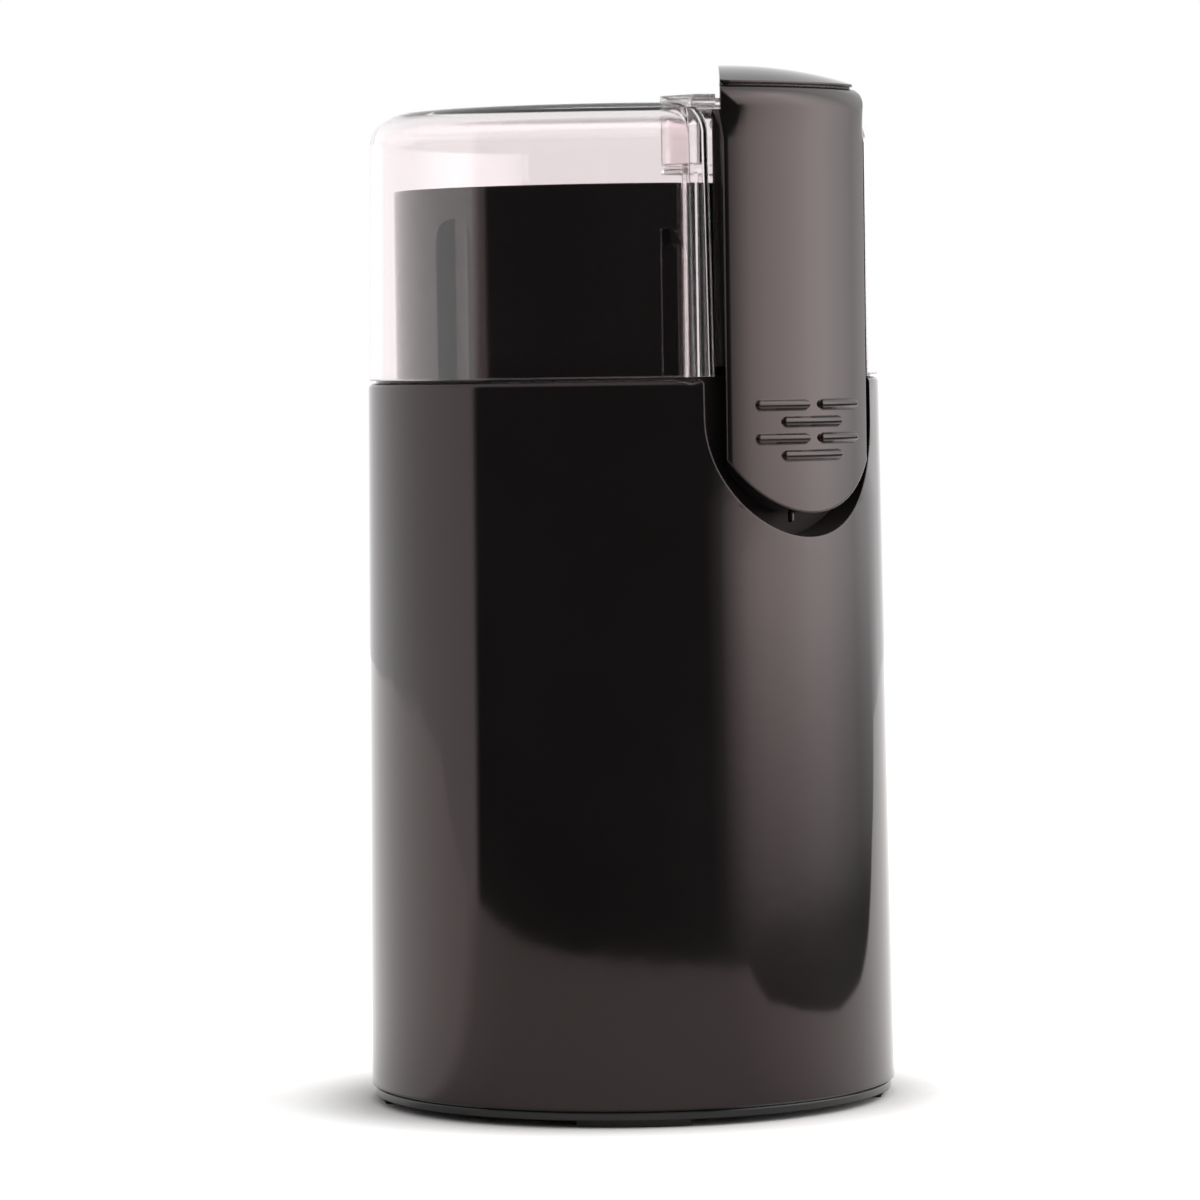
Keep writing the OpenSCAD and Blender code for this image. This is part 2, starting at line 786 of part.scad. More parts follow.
module lever() {
    color(black) {
        difference() {
            union() {
                lever_bow();
                lever_hood();
                intersection() {
                    lever_ears();
                    hood_limit(1);
                    translate([0, 0, hinge_z - 5]) linear_extrude(far) lever_plan(0.6, 0);
                }
                grip_ribs();
                // boss that pushes the plunger, and a rib to the lever's lower wall
                front_rod(3, lever_low_rim_p - 0.1, lever_front_p - 1, plunger_z);
                // stop peg at the lower tip
                translate([-peg_r, -lever_low_rim_p - peg_r, lever_tip_z - peg_h])
                    cylinder(r = peg_r, h = peg_h + lever_wall);
            }
            cross_rod(pin_r + fit_gap, far, hinge_p, hinge_z);
            // in the lid's opening the lever is no wider than its hood
            translate([0, 0, hump_z - hump_roof - hood_gap]) linear_extrude(far) difference() {
                square(2 * far, center = true);
                hood_plan(2 * eps);
            }
        }
    }
}

// ---------------------------------------------------------------- plunger and switch

module plunger() {
    color(dark) {
        front_rod(plunger_nose_r, plunger_rear_p, plunger_rear_p + 2, plunger_z);
        front_rod(plunger_r, plunger_rear_p + 1, plunger_front_p, plunger_z);
        front_rod(plunger_collar_r, collar_front_p - plunger_collar_t, collar_front_p, plunger_z);
    }
}

// Closed rings joined by short links stand for the coils
module plunger_spring() {
    p_low = web_p + web_t + snug_gap;
    p_high = collar_front_p - plunger_collar_t - snug_gap;
    mean_r = plunger_r + 0.75;
    step = (p_high - p_low - 2 * spring_wire_r) / (spring_turns - 1);
    color(steel) {
        for (i = [0:spring_turns - 1])
            translate([0, -(p_low + spring_wire_r + i * step), plunger_z]) rotate([90, 0, 0])
                rotate_extrude() translate([mean_r, 0]) circle(r = spring_wire_r, $fn = 24);
        for (i = [0:spring_turns - 2])
            translate([0, -(p_low + spring_wire_r + i * step), plunger_z]) rotate([0, i * 180, 0])
                translate([mean_r, 0, 0]) rotate([90, 0, 0]) cylinder(r = spring_wire_r * 0.8, h = step, $fn = 24);
    }
}

module switch_body() {
    color(dark) difference() {
        union() {
            translate([-switch_w / 2, -switch_front_p, switch_z]) cube([switch_w, switch_d, switch_h]);
            // three terminals
            for (x = [-7, 1, 7])
                translate([x - 1.2, -switch_front_p + switch_d - eps, plunger_z - 0.25]) cube([2.4, 3.5, 0.5]);
            // post that carries the leaf
            translate([-switch_w / 2, -switch_front_p - 1, plunger_z - 2]) cube([1.4, 1 + eps, 4]);
        }
        mirrored_x() translate([7, -switch_front_p + switch_d / 2, 0]) cylinder(r = 1.15, h = far * 2);
        front_rod(1.1, switch_front_p - 4, far, plunger_z, -6);
    }
}

module switch_leaf() {
    leaf_p = plunger_rear_p - seat_gap - 0.2;
    color(steel) {
        translate([-switch_w / 2 + 0.3, -leaf_p - 0.2, plunger_z - 1.8]) cube([13, 0.4, 3.6]);
        translate([-switch_w / 2 + 0.3, -leaf_p - 0.2, plunger_z - 1.8])
            cube([0.4, leaf_p + 0.2 - switch_front_p - 1.3, 3.6]);
    }
}

module switch_button() {
    leaf_p = plunger_rear_p - seat_gap - 0.2;
    color(dark) front_rod(0.9, switch_front_p - 2.2, leaf_p - 0.5, plunger_z, -6);
}

module switch_screws() {
    color(steel) mirrored_x() translate([7, -switch_front_p + switch_d / 2, switch_z - 1.3]) {
        cylinder(r = 1.9, h = 1.2);
        cylinder(r = 0.95, h = switch_h + 3.2);
    }
}

// ---------------------------------------------------------------- rotor

module rotor_shaft() {
    color(steel) translate([0, 0, shaft_low_z]) cylinder(r = shaft_r, h = blade_z + blade_t + 4 - shaft_low_z);
}

module armature_core() {
    slot_w = 2;
    color(iron) translate([0, 0, stack_z]) linear_extrude(stack_h) difference() {
        circle(r = armature_r);
        circle(r = shaft_r + press_gap);
        for (i = [0:armature_slots - 1]) rotate(i * 360 / armature_slots) {
            translate([armature_r - 4, 0]) circle(r = 1.7);
            translate([armature_r - 4, -slot_w / 4]) square([10, slot_w / 2]);
        }
    }
}

module armature_windings() {
    end_h = 6;
    hub_r = shaft_r + 2;
    color(copper) {
        for (i = [0:armature_slots - 1]) rotate([0, 0, i * 360 / armature_slots])
            translate([armature_r - 4, 0, stack_z - 2]) cylinder(r = 1.6, h = stack_h + 4);
        for (z = [stack_z - end_h, stack_top_z + 0.2])
            rotate_extrude() {
                translate([hub_r, z]) square([armature_r - 2.6 - hub_r, end_h - 0.2]);
            }
    }
}

module commutator() {
    color(copper) difference() {
        tube(commutator_r, shaft_r + press_gap, commutator_z, commutator_h);
        for (i = [0:commutator_bars - 1]) rotate([0, 0, i * 360 / commutator_bars])
            translate([commutator_r - 0.6, -0.2, commutator_z - 1]) cube([2, 0.4, commutator_h + 2]);
    }
    color(dark) tube(5.5, shaft_r + press_gap, commutator_z - 1.5, 1.5);
}

module cooling_fan() {
    hub_r = 7;
    color(dark) difference() {
        union() {
            translate([0, 0, fan_z]) cylinder(r = fan_r, h = 1.2);
            translate([0, 0, fan_z - 2]) cylinder(r = hub_r, h = 8);
            for (i = [0:fan_blades - 1]) rotate([0, 0, i * 360 / fan_blades])
                translate([hub_r - 1, 0, fan_z]) rotate([0, 0, 12]) cube([fan_r - hub_r, 1, 5]);
        }
        cylinder(r = shaft_r + press_gap, h = far * 2);
    }
}

module blade_spacer() {
    low_z = bowl_floor_z + bowl_t + 2.9;
    color(steel) tube(5, shaft_r + press_gap, low_z, blade_z - low_z);
}

module blade_wing() {
    root = 5;
    reach = blade_l / 2;
    rotate([blade_pitch, 0, 0]) linear_extrude(blade_t) difference() {
        translate([0, -blade_w / 2]) square([reach, blade_w]);
        // the cutting edge sweeps back to the tip
        translate([root + 4, blade_w / 2]) rotate(-14) square([reach, blade_w]);
        translate([reach - 3, -blade_w / 2]) rotate(-45) square([6, 6], center = true);
    }
}

module blade() {
    color(steel) translate([0, 0, blade_z]) difference() {
        union() {
            cylinder(r = 6.5, h = blade_t);
            difference() {
                union() {
                    blade_wing();
                    rotate([0, 0, 180]) blade_wing();
                }
                translate([0, 0, -far]) cylinder(r = 5.5, h = far);
                translate([0, 0, blade_t]) cylinder(r = 5.5, h = far);
            }
        }
        translate([0, 0, -1]) cylinder(r = shaft_r + press_gap, h = 4);
    }
}

module blade_nut() {
    low_z = blade_z + blade_t;
    color(steel) difference() {
        union() {
            translate([0, 0, low_z]) cylinder(r = 5.2, h = 3.6, $fn = 6);
            translate([0, 0, low_z + 3.6]) cylinder(r1 = 4.4, r2 = 2.6, h = 1.8);
        }
        translate([0, 0, low_z - 1]) cylinder(r = shaft_r + press_gap, h = 5.1);
    }
}

// ---------------------------------------------------------------- motor

module stator_profile() {
    pole_r = armature_r + 0.6;
    difference() {
        round_rect(stator_w, stator_d, 4);
        intersection() {
            square([stator_w - 9, stator_d - 12], center = true);
            union() {
                square([2 * pole_r, far], center = true);
                mirrored_x() mirrored_y() translate([8, 9]) square([14, 8]);
            }
        }
        circle(r = pole_r);
        for (sx = [-1, 1], sy = [-1, 1]) translate([sx * bolt_x, sy * bolt_y]) circle(r = bolt_r + snug_gap);
    }
}

module mirrored_y() {
    children();
    mirror([0, 1, 0]) children();
}

module stator_core() {
    color(iron) translate([0, 0, stack_z]) linear_extrude(stack_h) stator_profile();
}

module field_coil(side) {
    end = 6;
    x = side > 0 ? 16.4 : -20.6;
    color(copper) translate([x, 0, 0]) difference() {
        translate([0, -14, stack_z - end]) cube([4.2, 28, stack_h + 2 * end]);
        translate([-1, -9.4, stack_z - 0.3]) cube([7, 18.8, stack_h + 0.6]);
    }
}

module bracket_plate(z) {
    translate([0, 0, z]) linear_extrude(bracket_t) difference() {
        round_rect(stator_w, stator_d, 4);
        for (sx = [-1, 1]) translate([sx * 17, 4]) circle(r = 5);
        for (sx = [-1, 1], sy = [-1, 1]) translate([sx * bolt_x, sy * bolt_y]) circle(r = bolt_r + snug_gap);
    }
}

module bolt_posts(z, h) {
    for (sx = [-1, 1], sy = [-1, 1]) translate([sx * bolt_x, sy * bolt_y, z]) difference() {
        cylinder(r = 3.4, h = h);
        translate([0, 0, -1]) cylinder(r = bolt_r + snug_gap, h = h + 2);
    }
}

module upper_bracket() {
    color(alloy) difference() {
        union() {
            bracket_plate(upper_plate_z);
            bolt_posts(stack_top_z, upper_plate_z - stack_top_z + eps);
            translate([0, 0, upper_plate_z]) cylinder(r = bearing_r + 2.5, h = 7);
        }
        translate([0, 0, upper_plate_z + 1]) cylinder(r = bearing_r + press_gap, h = far);
        cylinder(r = shaft_r + 1.2, h = far * 2);
        motor_mount_places() cylinder(r = 1.7, h = far * 2);
    }
}

module lower_bracket() {
    color(alloy) difference() {
        union() {
            bracket_plate(lower_plate_z);
            bolt_posts(lower_plate_z + bracket_t - eps, stack_z - lower_plate_z - bracket_t + eps);
            translate([0, 0, lower_plate_z - 4]) cylinder(r = bearing_r + 2.5, h = 7);
        }
        translate([0, 0, lower_plate_z - 5]) cylinder(r = bearing_r + press_gap, h = 7);
        cylinder(r = shaft_r + 1.2, h = far);
    }
}

module bearing(z) {
    color(steel) tube(bearing_r, shaft_r + press_gap, z, bearing_h);
}

module brush_holder(side) {
    color(dark) translate([0, 0, brush_z]) mirror([side < 0 ? 1 : 0, 0, 0]) difference() {
        union() {
            translate([9.6, -4.2, -4.2]) cube([14.4, 8.4, 8.4]);
            translate([12, -3, -brush_z + lower_plate_z + bracket_t]) cube([8, 6, brush_z - lower_plate_z - bracket_t]);
        }
        translate([9, -2.6, -2.6]) cube([13.6, 5.2, 5.2]);
    }
}

module brush(side) {
    color(dark) translate([0, 0, brush_z]) mirror([side < 0 ? 1 : 0, 0, 0])
        translate([commutator_r + 0.1, -2.4, -2.4]) cube([8.4, 4.8, 4.8]);
}

module brush_spring(side) {
    low = commutator_r + 8.7;
    step = 1.1;
    turns = 5;
    color(steel) translate([0, 0, brush_z]) mirror([side < 0 ? 1 : 0, 0, 0]) {
        for (i = [0:turns - 1]) translate([low + 0.3 + i * step, 0, 0]) rotate([0, 90, 0])
            rotate_extrude() translate([1.8, 0]) circle(r = 0.3, $fn = 24);
        for (i = [0:turns - 2]) translate([low + 0.3 + i * step, 0, 0]) rotate([i * 180, 0, 0])
            translate([0, 0, 1.8]) rotate([0, 90, 0]) cylinder(r = 0.24, h = step, $fn = 24);
    }
}

module motor_bolts() {
    color(steel) for (sx = [-1, 1], sy = [-1, 1]) translate([sx * bolt_x, sy * bolt_y, 0]) {
        translate([0, 0, lower_plate_z - 2.4]) cylinder(r = 3, h = 2.4);
        translate([0, 0, lower_plate_z - 1]) cylinder(r = bolt_r, h = upper_plate_z + bracket_t + 3.4 - lower_plate_z);
        translate([0, 0, upper_plate_z + bracket_t]) cylinder(r = 3, h = 2.2, $fn = 6);
    }
}

module motor_mounts() {
    color(dark) motor_mount_places() tube(post_r, 1.7, upper_plate_z + bracket_t, mount_h);
}

module mount_screws() {
    color(steel) motor_mount_places() translate([0, 0, upper_plate_z]) {
        translate([0, 0, -2.2]) cylinder(r = 2.8, h = 2.2);
        translate([0, 0, -1]) cylinder(r = 1.4, h = 15);
    }
}

body_shell();
base_plate();
base_screws();
cord_gland();
foot(225);  // foot_front_left
foot(315);  // foot_front_right
foot(135);  // foot_rear_left
foot(45);  // foot_rear_right
bowl();
shaft_seal();
lid();
hinge_pin();
lever();
plunger();
plunger_spring();
switch_body();
switch_leaf();
switch_button();
switch_screws();
rotor_shaft();
armature_core();
armature_windings();
commutator();
cooling_fan();
blade_spacer();
blade();
blade_nut();
stator_core();
field_coil(-1);  // field_coil_left
field_coil(1);  // field_coil_right
upper_bracket();
bearing(upper_plate_z + 1);  // upper_bearing
lower_bracket();
bearing(lower_plate_z - 3.2);  // lower_bearing
brush_holder(-1);  // brush_holder_left
brush_holder(1);  // brush_holder_right
brush(-1);  // brush_left
brush(1);  // brush_right
brush_spring(-1);  // brush_spring_left
brush_spring(1);  // brush_spring_right
motor_bolts();
motor_mounts();
mount_screws();
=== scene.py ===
import json
import math

import bmesh
import bpy
from mathutils import Matrix, Vector


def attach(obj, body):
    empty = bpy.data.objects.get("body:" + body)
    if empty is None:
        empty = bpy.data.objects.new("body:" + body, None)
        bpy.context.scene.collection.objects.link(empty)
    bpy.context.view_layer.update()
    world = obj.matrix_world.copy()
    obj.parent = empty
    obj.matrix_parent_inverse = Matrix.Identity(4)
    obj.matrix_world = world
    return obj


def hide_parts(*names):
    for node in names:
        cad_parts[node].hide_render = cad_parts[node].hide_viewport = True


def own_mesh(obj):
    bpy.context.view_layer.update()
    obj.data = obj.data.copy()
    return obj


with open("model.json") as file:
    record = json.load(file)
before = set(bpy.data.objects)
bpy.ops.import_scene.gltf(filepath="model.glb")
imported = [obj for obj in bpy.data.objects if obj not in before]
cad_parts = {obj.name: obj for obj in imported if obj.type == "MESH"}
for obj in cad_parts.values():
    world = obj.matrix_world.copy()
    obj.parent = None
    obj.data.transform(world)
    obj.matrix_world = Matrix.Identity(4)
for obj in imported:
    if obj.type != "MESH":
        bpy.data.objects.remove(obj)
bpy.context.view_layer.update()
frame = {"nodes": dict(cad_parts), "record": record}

POCKET_FLOOR_Y = -0.0373      # the flat floor of the lever's pocket
POCKET_HALF_W = 0.0204
MATCH = 0.0001                # how near to a plane of the solids a point counts as on it
PLATE_BOTTOM_Z = 0.0013       # underside of the base plate

# ---------------------------------------------------------------- camera
# Matched to the photograph by the seam, the lid's rims and the body's two sides.
CAMERA_REACH = 0.981          # distance of the lens from the housing's axis
CAMERA_HEIGHT = 0.1276
CAMERA_SIDE = math.radians(45)
AIM_HEIGHT = 0.0867
AIM_LEFT = 0.0046
CAMERA_ROLL = math.radians(-0.83)
LENS_MM = 168.6


def camera_directions():
    back = Vector((-math.sin(CAMERA_SIDE), -math.cos(CAMERA_SIDE), 0))
    right = Vector((math.cos(CAMERA_SIDE), -math.sin(CAMERA_SIDE), 0))
    return back, right


def place_camera():
    back, right = camera_directions()
    data = bpy.data.cameras.new("camera")
    data.lens = LENS_MM
    data.sensor_width = 36
    data.clip_start, data.clip_end = 0.05, 50
    camera = bpy.data.objects.new("camera", data)
    bpy.context.scene.collection.objects.link(camera)
    camera.location = back * CAMERA_REACH + Vector((0, 0, CAMERA_HEIGHT))
    aim = Vector((0, 0, AIM_HEIGHT)) - right * AIM_LEFT
    look = (aim - camera.location).to_track_quat("-Z", "Y")
    camera.rotation_mode = "QUATERNION"
    camera.rotation_quaternion = look @ Matrix.Rotation(CAMERA_ROLL, 3, "Z").to_quaternion()
    bpy.context.scene.camera = camera


# ---------------------------------------------------------------- materials
PATTERN_LOW, PATTERN_HIGH = 0.35, 0.65        # where nearly all values of a noise pattern lie
DULL_ROUGHNESS = 0.7                          # of the pocket's floor


def linear(hex_colour):
    """An sRGB hex colour as the linear colour that a shader takes."""
    parts = [int(hex_colour[i:i + 2], 16) / 255 for i in (1, 3, 5)]
    return [p / 12.92 if p <= 0.04045 else ((p + 0.055) / 1.055) ** 2.4 for p in parts] + [1]


def add_node(tree, kind, settings, links):
    """Adds a node. settings are its own fields, or its sockets by name or number; links go to its sockets."""
    node = tree.nodes.new(kind)
    for name, value in settings.items():
        if isinstance(name, int) or name in node.inputs:
            node.inputs[name].default_value = value
        else:
            setattr(node, name, value)
    for name, source in links.items():
        tree.links.new(source, node.inputs[name])
    return node


def new_material(name, settings):
    material = bpy.data.materials.new(name)
    material.use_nodes = True
    tree = material.node_tree
    tree.nodes.clear()
    shader = add_node(tree, "ShaderNodeBsdfPrincipled", settings, {})
    add_node(tree, "ShaderNodeOutputMaterial", {}, {"Surface": shader.outputs["BSDF"]})
    return material, tree, shader


def cloudy(tree, size_mm, detail, stretch=(1, 1, 1)):
    """A soft random pattern in the piece's own space, its patches size_mm across."""
    place = add_node(tree, "ShaderNodeTexCoord", {}, {})
    scaled = add_node(tree, "ShaderNodeMapping", {"Scale": stretch}, {"Vector": place.outputs["Object"]})
    return add_node(tree, "ShaderNodeTexNoise", {"Scale": 1000 / size_mm, "Detail": detail},
                    {"Vector": scaled.outputs["Vector"]}).outputs["Fac"]


def blend_colours(tree, shader, pattern, first, second):
    """The shader's colour drifts between two hex colours with the pattern."""
    ramp = add_node(tree, "ShaderNodeValToRGB", {}, {"Fac": pattern})
    for stop, place, colour in zip(ramp.color_ramp.elements, (PATTERN_LOW, PATTERN_HIGH), (first, second)):
        stop.position, stop.color = place, linear(colour)
    tree.links.new(ramp.outputs["Color"], shader.inputs["Base Color"])


def vary_roughness(tree, shader, pattern, low, high):
    level = add_node(tree, "ShaderNodeMapRange",
                     {"From Min": PATTERN_LOW, "From Max": PATTERN_HIGH, "To Min": low, "To Max": high},
                     {"Value": pattern})
    tree.links.new(level.outputs["Result"], shader.inputs["Roughness"])


def raise_grain(tree, shader, pattern, strength, depth_mm, edge_mm=0):
    """Bump from a pattern. With edge_mm, the mould's sharp edges catch the light as if rounded by that much."""
    links = {"Height": pattern}
    if edge_mm:
        edge = add_node(tree, "ShaderNodeBevel", {"samples": 6, "Radius": edge_mm / 1000}, {})
        links["Normal"] = edge.outputs["Normal"]
    lift = add_node(tree, "ShaderNodeBump", {"Strength": strength, "Distance": depth_mm / 1000}, links)
    tree.links.new(lift.outputs["Normal"], shader.inputs["Normal"])


def gloss_abs(name, pocket):
    """ABS from a polished mould: deep warm black, a near mirror, with soft waves of 9 mm in its reflections.

    With pocket, the floor of the lever's pocket is dull, as the mould's milling cutter left it.
    """
    material, tree, shader = new_material(name, {"IOR": 1.53, "Specular Tint": linear("#FFE6E6")})
    drift = cloudy(tree, 30, 4)
    blend_colours(tree, shader, drift, "#141212", "#181616")
    waves = cloudy(tree, 9, 2)
    raise_grain(tree, shader, waves, 0.05, 0.1, 0.4)
    vary_roughness(tree, shader, drift, 0.04, 0.07)
    if pocket:
        place = add_node(tree, "ShaderNodeTexCoord", {}, {})
        axes = add_node(tree, "ShaderNodeSeparateXYZ", {}, {"Vector": place.outputs["Object"]})
        on_floor = add_node(tree, "ShaderNodeMath", {"operation": "COMPARE", 1: POCKET_FLOOR_Y, 2: MATCH},
                            {0: axes.outputs["Y"]})
        in_pocket = add_node(tree, "ShaderNodeMath", {"operation": "COMPARE", 1: 0.0, 2: POCKET_HALF_W},
                             {0: axes.outputs["X"]})
        dull = add_node(tree, "ShaderNodeMath", {"operation": "MULTIPLY"},
                        {0: on_floor.outputs["Value"], 1: in_pocket.outputs["Value"]})
        gloss = shader.inputs["Roughness"].links[0].from_socket
        rough = add_node(tree, "ShaderNodeMix", {"data_type": "FLOAT", 3: DULL_ROUGHNESS},
                         {0: dull.outputs["Value"], 2: gloss})
        tree.links.new(rough.outputs[0], shader.inputs["Roughness"])
    return material


def matt_abs():
    """ABS from a spark-eroded mould: dark grey-black with a fine even grain of about 0.4 mm."""
    material, tree, shader = new_material("matt_moulded_abs", {"IOR": 1.53})
    blend_colours(tree, shader, cloudy(tree, 8, 4), "#141313", "#1B1A1A")
    grain = cloudy(tree, 0.4, 2)
    vary_roughness(tree, shader, grain, 0.42, 0.52)
    raise_grain(tree, shader, grain, 0.2, 0.1)
    return material


def base_plate_abs():
    """The base plate's ABS: polished on its rim, matt and grained on the underside."""
    material, tree, shader = new_material("gloss_rimmed_moulded_abs", {"IOR": 1.53})
    blend_colours(tree, shader, cloudy(tree, 8, 4), "#141212", "#181616")
    place = add_node(tree, "ShaderNodeTexCoord", {}, {})
    axes = add_node(tree, "ShaderNodeSeparateXYZ", {}, {"Vector": place.outputs["Object"]})
    rim = add_node(tree, "ShaderNodeMath", {"operation": "GREATER_THAN", 1: PLATE_BOTTOM_Z + MATCH},
                   {0: axes.outputs["Z"]})
    rough = add_node(tree, "ShaderNodeMapRange", {"To Min": 0.48, "To Max": 0.06}, {"Value": rim.outputs["Value"]})
    tree.links.new(rough.outputs["Result"], shader.inputs["Roughness"])
    raise_grain(tree, shader, cloudy(tree, 0.4, 2), 0.05, 0.1, 0.4)
    return material


def moulded_rubber():
    """Black rubber pressed in a dull mould: no clear highlight, a little dust in its pores."""
    material, tree, shader = new_material("moulded_rubber", {"IOR": 1.52, "Sheen Weight": 0.15})
    blend_colours(tree, shader, cloudy(tree, 2.5, 5), "#131212", "#1E1D1C")
    pores = cloudy(tree, 0.3, 2)
    vary_roughness(tree, shader, pores, 0.62, 0.75)
    raise_grain(tree, shader, pores, 0.3, 0.1)
    return material


def turned_steel(name, first, second, low, high, groove_mm):
    """Stainless steel spun or turned on its axis: fine rings that draw the light out into a cross."""
    material, tree, shader = new_material(name, {"Metallic": 1})
    rings = cloudy(tree, groove_mm * 12, 3, (1, 1, 12))
    blend_colours(tree, shader, rings, first, second)
    vary_roughness(tree, shader, rings, low, high)
    raise_grain(tree, shader, rings, 0.15, 0.05)
    return material


def metal(name, first, second, low, high, grain_mm, bump, stretch=(1, 1, 1)):
    """A bare metal with a grain: rolled, plated, cast or wound, by the grain's size, height and stretch."""
    material, tree, shader = new_material(name, {"Metallic": 1})
    grain = cloudy(tree, grain_mm, 3, stretch)
    blend_colours(tree, shader, cloudy(tree, grain_mm * 6, 4, stretch), first, second)
    vary_roughness(tree, shader, grain, low, high)
    raise_grain(tree, shader, grain, bump, 0.1)
    return material


def pressed_carbon():
    """Carbon brush: dull dark grey with tiny bright specks of graphite."""
    material, tree, shader = new_material("pressed_carbon", {"IOR": 1.6})
    specks = cloudy(tree, 0.25, 3)
    blend_colours(tree, shader, specks, "#19191A", "#2A2A2C")
    vary_roughness(tree, shader, specks, 0.45, 0.62)
    return material


def clear_san():
    """SAN from a polished mould: clear as glass, faintly rosy, its faces a little wavy as moulded ones are."""
    material, tree, shader = new_material("clear_moulded_san", {
        "Transmission Weight": 1, "IOR": 1.49, "Roughness": 0.01, "Base Color": linear("#F9F3F4")})
    raise_grain(tree, shader, cloudy(tree, 14, 1), 0.06, 0.1, 0.5)
    return material


FINISHES = {
    "gloss_black": gloss_abs("gloss_moulded_abs", False),
    "matte_black": matt_abs(),
    "foot_rubber": moulded_rubber(),
    # drawn bowl, spun smooth
    "stainless": turned_steel("spun_stainless_steel", "#D2D1CF", "#DCDBD9", 0.2, 0.3, 0.25),
    # blade ground along its length
    "blade_steel": metal("ground_stainless_steel", "#C4C4C5", "#CFCFCF", 0.12, 0.24, 0.3, 0.2, (0.06, 1, 1)),
    # dull bluish plating
    "steel": metal("zinc_plated_steel", "#9FA1A4", "#B1B2B3", 0.28, 0.4, 0.5, 0.1),
    # edges of 0.5 mm sheets show as fine level lines
    "lamination": metal("stacked_electrical_steel", "#4A4B4E", "#5C5D60", 0.38, 0.5, 0.5, 0.5, (0.05, 0.05, 1)),
    # wires of about 0.5 mm, side by side, under clear enamel
    "copper": metal("enamelled_copper_wire", "#9A4E24", "#B8672F", 0.28, 0.4, 0.5, 0.6, (1, 1, 0.1)),
    # silvery grey with a faint orange peel
    "alloy": metal("die_cast_alloy", "#8E9094", "#A0A2A5", 0.4, 0.55, 0.4, 0.4),
    "carbon": pressed_carbon(),
    "clear_lid": clear_san(),
}


def dress_nodes():
    for row in frame["record"]["subparts"]:
        node = frame["nodes"][row["node"]]
        node.data.materials.clear()
        node.data.materials.append(FINISHES[row["material_slot"]])
    body = frame["nodes"]["body_shell"]
    body.data.materials[0] = gloss_abs("gloss_moulded_abs_with_dull_pocket", True)
    frame["nodes"]["base_plate"].data.materials[0] = base_plate_abs()
    # light reaches the collar through the clear lid
    lid = frame["nodes"]["lid"]
    lid.visible_shadow = lid.visible_diffuse = False


# ---------------------------------------------------------------- lever
# All in mm. Plan of the lever as built and as the photograph shows it: the face's radius, its
# distance from the housing's axis, and the radius of the long corners.
HALF_W = 17.2
REAR_P = 39                   # only what is further from the axis than this is drawn in or out
BUILT_PLAN = {"face_r": 40, "front": 46.4, "corner_r": 4}
SEEN_PLAN = {"face_r": 42.5, "front": 45.4, "corner_r": 1}
SHOULDER_Z = (165, 171)       # here the seen plan passes into the built one
CUT_STEP = 2                  # distance of the level cuts that let the long faces follow
ON_FACE = 0.05                # a corner this near to the built face, and
SAME_WAY = 0.97               # with a normal this alike, takes the seen face's normal


def front_of(plan, x):
    """Distance of the lever's face from the housing's axis at x, and the face's normal there, in plan."""
    centre_p = plan["front"] - plan["face_r"]
    corner_x = HALF_W - plan["corner_r"]
    reach = plan["face_r"] - plan["corner_r"]
    corner = Vector((corner_x, centre_p + math.sqrt(reach * reach - corner_x * corner_x)))
    if abs(x) <= corner_x * plan["face_r"] / reach:
        centre, radius = Vector((0, centre_p)), plan["face_r"]
    else:
        centre, radius = corner, plan["corner_r"]
    off = abs(x) - centre.x
    rise = math.sqrt(max(radius * radius - off * off, 0))
    return centre.y + rise, Vector((math.copysign(off, x), rise)) / radius


def seen_share(z):
    """1 where the lever takes the seen plan, 0 where it keeps the built one."""
    step = min(max((SHOULDER_Z[1] - z) / (SHOULDER_Z[1] - SHOULDER_Z[0]), 0), 1)
    return step * step * (3 - 2 * step)


def press_lever():
    """The lever with a flatter face and tighter long corners: the built one, drawn in or out in plan."""
    mesh = frame["nodes"]["lever"].data.copy()
    mesh.name = "press_lever"
    normals = mesh.attributes.new("built_normal", "FLOAT_VECTOR", "CORNER")
    normals.data.foreach_set("vector", [v for corner in mesh.corner_normals for v in corner.vector])
    shape = bmesh.new()
    shape.from_mesh(mesh)
    for level in range(SHOULDER_Z[0], SHOULDER_Z[1] + 1, CUT_STEP):
        bmesh.ops.bisect_plane(shape, geom=shape.verts[:] + shape.edges[:] + shape.faces[:], dist=1e-6,
                               plane_co=(0, 0, level / 1000), plane_no=(0, 0, 1))
    shape.to_mesh(mesh)
    shape.free()
    normals = [corner.vector.normalized() for corner in mesh.attributes["built_normal"].data]
    mesh.attributes.remove(mesh.attributes["built_normal"])
    for loop, normal in zip(mesh.loops, normals):
        x, y, z = (v * 1000 for v in mesh.vertices[loop.vertex_index].co)
        built_p, built_way = front_of(BUILT_PLAN, x)
        if abs(-y - built_p) < ON_FACE and normal.x * built_way.x - normal.y * built_way.y > SAME_WAY:
            way = built_way.lerp(front_of(SEEN_PLAN, x)[1], seen_share(z)).normalized()
            normal.x, normal.y, normal.z = way.x, -way.y, 0
    for vertex in mesh.vertices:
        x, p = vertex.co.x * 1000, -vertex.co.y * 1000
        if p > REAR_P:
            draw = (front_of(SEEN_PLAN, x)[0] - REAR_P) / (front_of(BUILT_PLAN, x)[0] - REAR_P)
            draw = 1 + (draw - 1) * seen_share(vertex.co.z * 1000)
            vertex.co.y = -(REAR_P + (p - REAR_P) * draw) / 1000
    mesh.update()
    mesh.normals_split_custom_set(normals)
    mesh.materials.clear()
    mesh.materials.append(FINISHES["gloss_black"])
    lever = bpy.data.objects.new("press_lever", mesh)
    bpy.context.scene.collection.objects.link(lever)
    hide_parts("lever")
    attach(lever, "lever")


